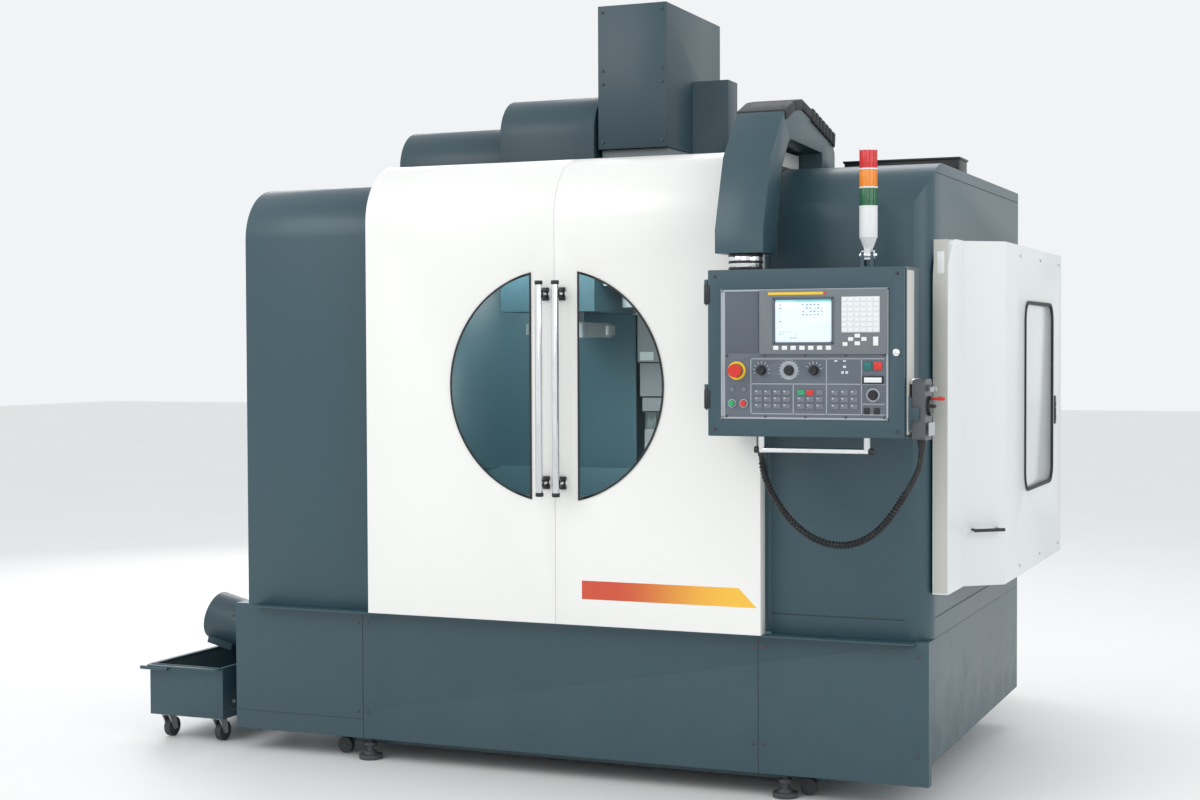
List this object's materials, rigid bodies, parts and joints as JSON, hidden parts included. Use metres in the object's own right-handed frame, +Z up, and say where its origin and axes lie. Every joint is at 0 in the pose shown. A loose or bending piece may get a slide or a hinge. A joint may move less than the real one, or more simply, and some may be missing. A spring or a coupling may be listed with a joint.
{
  "type": "cnc machining center",
  "caption": "Enclosed vertical machining centre with sliding front doors, round window, swinging operator pendant, coolant tank and chip cart.",
  "frame": {"origin": "on the floor, under the middle of the whole machine with its cart", "axes": "+X to the operator's right along the doors, +Y towards the back, +Z up"},
  "size_m": [3.1795, 2.5103, 2.735],
  "materials": {
    "enclosure_paint": "textured dark slate-teal powder coat",
    "cover_paint": "dark slate-teal powder coat",
    "door_paint": "smooth warm-white enamel",
    "side_paint": "pale grey-white enamel",
    "interior_paint": "satin teal paint",
    "casting": "painted and machined cast iron",
    "ground_steel": "ground steel",
    "chrome": "polished chrome",
    "window": "clear tinted polycarbonate",
    "panel_grey": "mid-grey operator panel",
    "display": "display unit bezel and screen",
    "knob_black": "satin black",
    "red_plastic": "red moulded plastic",
    "green_plastic": "green moulded plastic",
    "lens": "red, amber and green ribbed lenses",
    "tower_plastic": "white and grey moulded plastic",
    "unit_grey": "pale grey moulding",
    "cord_black": "black ribbed conduit",
    "wheel": "dark grey rubber tyre",
    "zinc": "zinc-plated steel",
    "foot_iron": "dark machined foot",
    "nozzle_plastic": "blue hose links with orange nozzles",
    "cover_grey": "grey sheet cover"
  },
  "bodies": {
    "machine": {"bed": "casting", "column": "casting", "levelling_feet": "foot_iron", "left_guard": "enclosure_paint", "right_guard": "enclosure_paint", "base_skirt": "enclosure_paint", "rear_guard": "enclosure_paint", "roof_panel": "enclosure_paint", "inner_guard": "interior_paint", "changer_cover": "cover_paint", "magazine_cover": "cover_paint", "auger_tube": "cover_paint", "electrical_cabinet": "side_paint"},
    "left_door": {"left_door": "door_paint", "left_window": "window", "left_handle": "chrome"},
    "right_door": {"right_door": "door_paint", "right_window": "window", "right_handle": "chrome"},
    "side_cover": {"side_cover": "side_paint", "side_window": "window", "side_handle": "knob_black"},
    "cabinet_door": {"cabinet_door": "side_paint"},
    "auger_screw": {"auger_screw": "ground_steel"},
    "coolant_tank": {"coolant_tank": "enclosure_paint"},
    "tank_left_wheels": {"tank_left_wheels": "wheel"},
    "tank_right_wheels": {"tank_right_wheels": "wheel"},
    "chip_cart": {"cart_tray": "enclosure_paint"},
    "cart_left_fork": {"cart_left_fork": "zinc"},
    "cart_right_fork": {"cart_right_fork": "zinc"},
    "cart_left_wheel": {"cart_left_wheel": "wheel"},
    "cart_right_wheel": {"cart_right_wheel": "wheel"},
    "cart_rear_wheels": {"cart_rear_wheels": "wheel"},
    "saddle": {"saddle": "casting"},
    "table": {"table": "ground_steel"},
    "spindle_head": {"spindle_head": "casting", "head_cover": "cover_paint", "way_cover": "cover_grey", "coolant_nozzles": "nozzle_plastic"},
    "spindle": {"spindle": "ground_steel"},
    "tool_magazine": {"tool_magazine": "casting"},
    "change_arm": {"change_arm": "ground_steel"},
    "pendant_arm": {"pendant_arm": "enclosure_paint"},
    "pendant_box": {"control_box": "enclosure_paint", "towel_bar": "chrome", "handwheel_unit": "unit_grey", "handwheel_cord": "cord_black"},
    "pendant_front": {"pendant_front": "enclosure_paint", "operator_panel": "panel_grey", "display_unit": "display"},
    "estop_button": {"estop_button": "red_plastic"},
    "mode_knob": {"mode_knob": "knob_black"},
    "feed_knob": {"feed_knob": "knob_black"},
    "speed_knob": {"speed_knob": "knob_black"},
    "jog_knob": {"jog_knob": "knob_black"},
    "start_button": {"start_button": "green_plastic"},
    "stop_button": {"stop_button": "red_plastic"},
    "handwheel_dial": {"handwheel_dial": "knob_black"},
    "signal_tower": {"signal_tower": "tower_plastic", "tower_lenses": "lens"}
  },
  "joints": [
    {"name": "left_door_slide", "type": "slide", "parent": "machine", "child": "left_door", "axis": [-1, 0, 0], "range_m": [0, 0.48]},
    {"name": "right_door_slide", "type": "slide", "parent": "machine", "child": "right_door", "axis": [1, 0, 0], "range_m": [0, 0.48]},
    {"name": "side_cover_hinge", "type": "hinge", "parent": "machine", "child": "side_cover", "pos_m": [1.4203, 0.582, 1.2], "axis": [0, 0, 1], "range_deg": [0, 100]},
    {"name": "cabinet_door_hinge", "type": "hinge", "parent": "machine", "child": "cabinet_door", "pos_m": [1.208, 1.2463, 1], "axis": [0, 0, -1], "range_deg": [0, 110]},
    {"name": "auger_turn", "type": "hinge", "parent": "machine", "child": "auger_screw", "pos_m": [-1.452, -0.608, 0.436], "axis": [0.9703, 0, -0.2419], "continuous": true},
    {"name": "tank_roll_out", "type": "slide", "parent": "machine", "child": "coolant_tank", "axis": [1, 0, 0], "range_m": [0, 0.7]},
    {"name": "tank_left_wheel_roll", "type": "hinge", "parent": "coolant_tank", "child": "tank_left_wheels", "pos_m": [-0.749, -0.812, 0.028], "axis": [0, 1, 0], "continuous": true},
    {"name": "tank_right_wheel_roll", "type": "hinge", "parent": "coolant_tank", "child": "tank_right_wheels", "pos_m": [0.998, -0.812, 0.028], "axis": [0, 1, 0], "continuous": true},
    {"name": "cart_roll_out", "type": "slide", "parent": "machine", "child": "chip_cart", "axis": [0, -1, 0], "range_m": [0, 0.8]},
    {"name": "cart_left_swivel", "type": "hinge", "parent": "chip_cart", "child": "cart_left_fork", "pos_m": [-1.52, -0.84, 0.06], "axis": [0, 0, 1], "continuous": true},
    {"name": "cart_right_swivel", "type": "hinge", "parent": "chip_cart", "child": "cart_right_fork", "pos_m": [-1.292, -0.84, 0.06], "axis": [0, 0, 1], "continuous": true},
    {"name": "cart_left_wheel_roll", "type": "hinge", "parent": "cart_left_fork", "child": "cart_left_wheel", "pos_m": [-1.52, -0.818, 0.036], "axis": [1, 0, 0], "continuous": true},
    {"name": "cart_right_wheel_roll", "type": "hinge", "parent": "cart_right_fork", "child": "cart_right_wheel", "pos_m": [-1.292, -0.818, 0.036], "axis": [1, 0, 0], "continuous": true},
    {"name": "cart_rear_wheel_roll", "type": "hinge", "parent": "chip_cart", "child": "cart_rear_wheels", "pos_m": [-1.52, -0.346, 0.036], "axis": [1, 0, 0], "continuous": true},
    {"name": "y_axis", "type": "slide", "parent": "machine", "child": "saddle", "axis": [0, 1, 0], "range_m": [-0.255, 0.255]},
    {"name": "x_axis", "type": "slide", "parent": "saddle", "child": "table", "axis": [1, 0, 0], "range_m": [-0.525, 0.525]},
    {"name": "z_axis", "type": "slide", "parent": "machine", "child": "spindle_head", "axis": [0, 0, 1], "range_m": [-0.56, 0]},
    {"name": "spindle_turn", "type": "hinge", "parent": "spindle_head", "child": "spindle", "pos_m": [0.158, -0.128, 1.65], "axis": [0, 0, 1], "continuous": true},
    {"name": "magazine_turn", "type": "hinge", "parent": "machine", "child": "tool_magazine", "pos_m": [-0.608, -0.038, 2.01], "axis": [0, 1, 0], "continuous": true},
    {"name": "change_arm_turn", "type": "hinge", "parent": "machine", "child": "change_arm", "pos_m": [-0.152, -0.128, 1.54], "axis": [0, 0, 1], "range_deg": [0, 180]},
    {"name": "pendant_arm_swing", "type": "hinge", "parent": "machine", "child": "pendant_arm", "pos_m": [0.88, -0.463, 2.06], "axis": [0, 0, 1], "range_deg": [-8, 5]},
    {"name": "pendant_box_swivel", "type": "hinge", "parent": "pendant_arm", "child": "pendant_box", "pos_m": [0.88, -1.128, 1.7], "axis": [0, 0, 1], "range_deg": [-60, 0]},
    {"name": "pendant_front_hinge", "type": "hinge", "parent": "pendant_box", "child": "pendant_front", "pos_m": [0.779, -1.212, 1.45], "axis": [0, 0, 1], "range_deg": [-80, 0]},
    {"name": "estop_press", "type": "slide", "parent": "pendant_front", "child": "estop_button", "axis": [0, 1, 0], "range_m": [0, 0.006], "stiffness_N_per_m": 900},
    {"name": "mode_turn", "type": "hinge", "parent": "pendant_front", "child": "mode_knob", "pos_m": [0.961, -1.22, 1.398], "axis": [0, 1, 0], "range_deg": [-135, 135]},
    {"name": "feed_turn", "type": "hinge", "parent": "pendant_front", "child": "feed_knob", "pos_m": [1.049, -1.22, 1.398], "axis": [0, 1, 0], "range_deg": [-135, 135]},
    {"name": "speed_turn", "type": "hinge", "parent": "pendant_front", "child": "speed_knob", "pos_m": [1.128, -1.22, 1.398], "axis": [0, 1, 0], "range_deg": [-135, 135]},
    {"name": "jog_turn", "type": "hinge", "parent": "pendant_front", "child": "jog_knob", "pos_m": [1.312, -1.22, 1.324], "axis": [0, 1, 0], "range_deg": [-135, 135]},
    {"name": "start_press", "type": "slide", "parent": "pendant_front", "child": "start_button", "axis": [0, 1, 0], "range_m": [0, 0.004], "stiffness_N_per_m": 600},
    {"name": "stop_press", "type": "slide", "parent": "pendant_front", "child": "stop_button", "axis": [0, 1, 0], "range_m": [0, 0.004], "stiffness_N_per_m": 600},
    {"name": "handwheel_turn", "type": "hinge", "parent": "pendant_box", "child": "handwheel_dial", "pos_m": [1.46, -1.128, 1.29], "axis": [1, 0, 0], "continuous": true},
    {"name": "tower_fold", "type": "hinge", "parent": "pendant_box", "child": "signal_tower", "pos_m": [1.258, -1.068, 1.752], "axis": [1, 0, 0], "range_deg": [0, 90]}
  ]
}
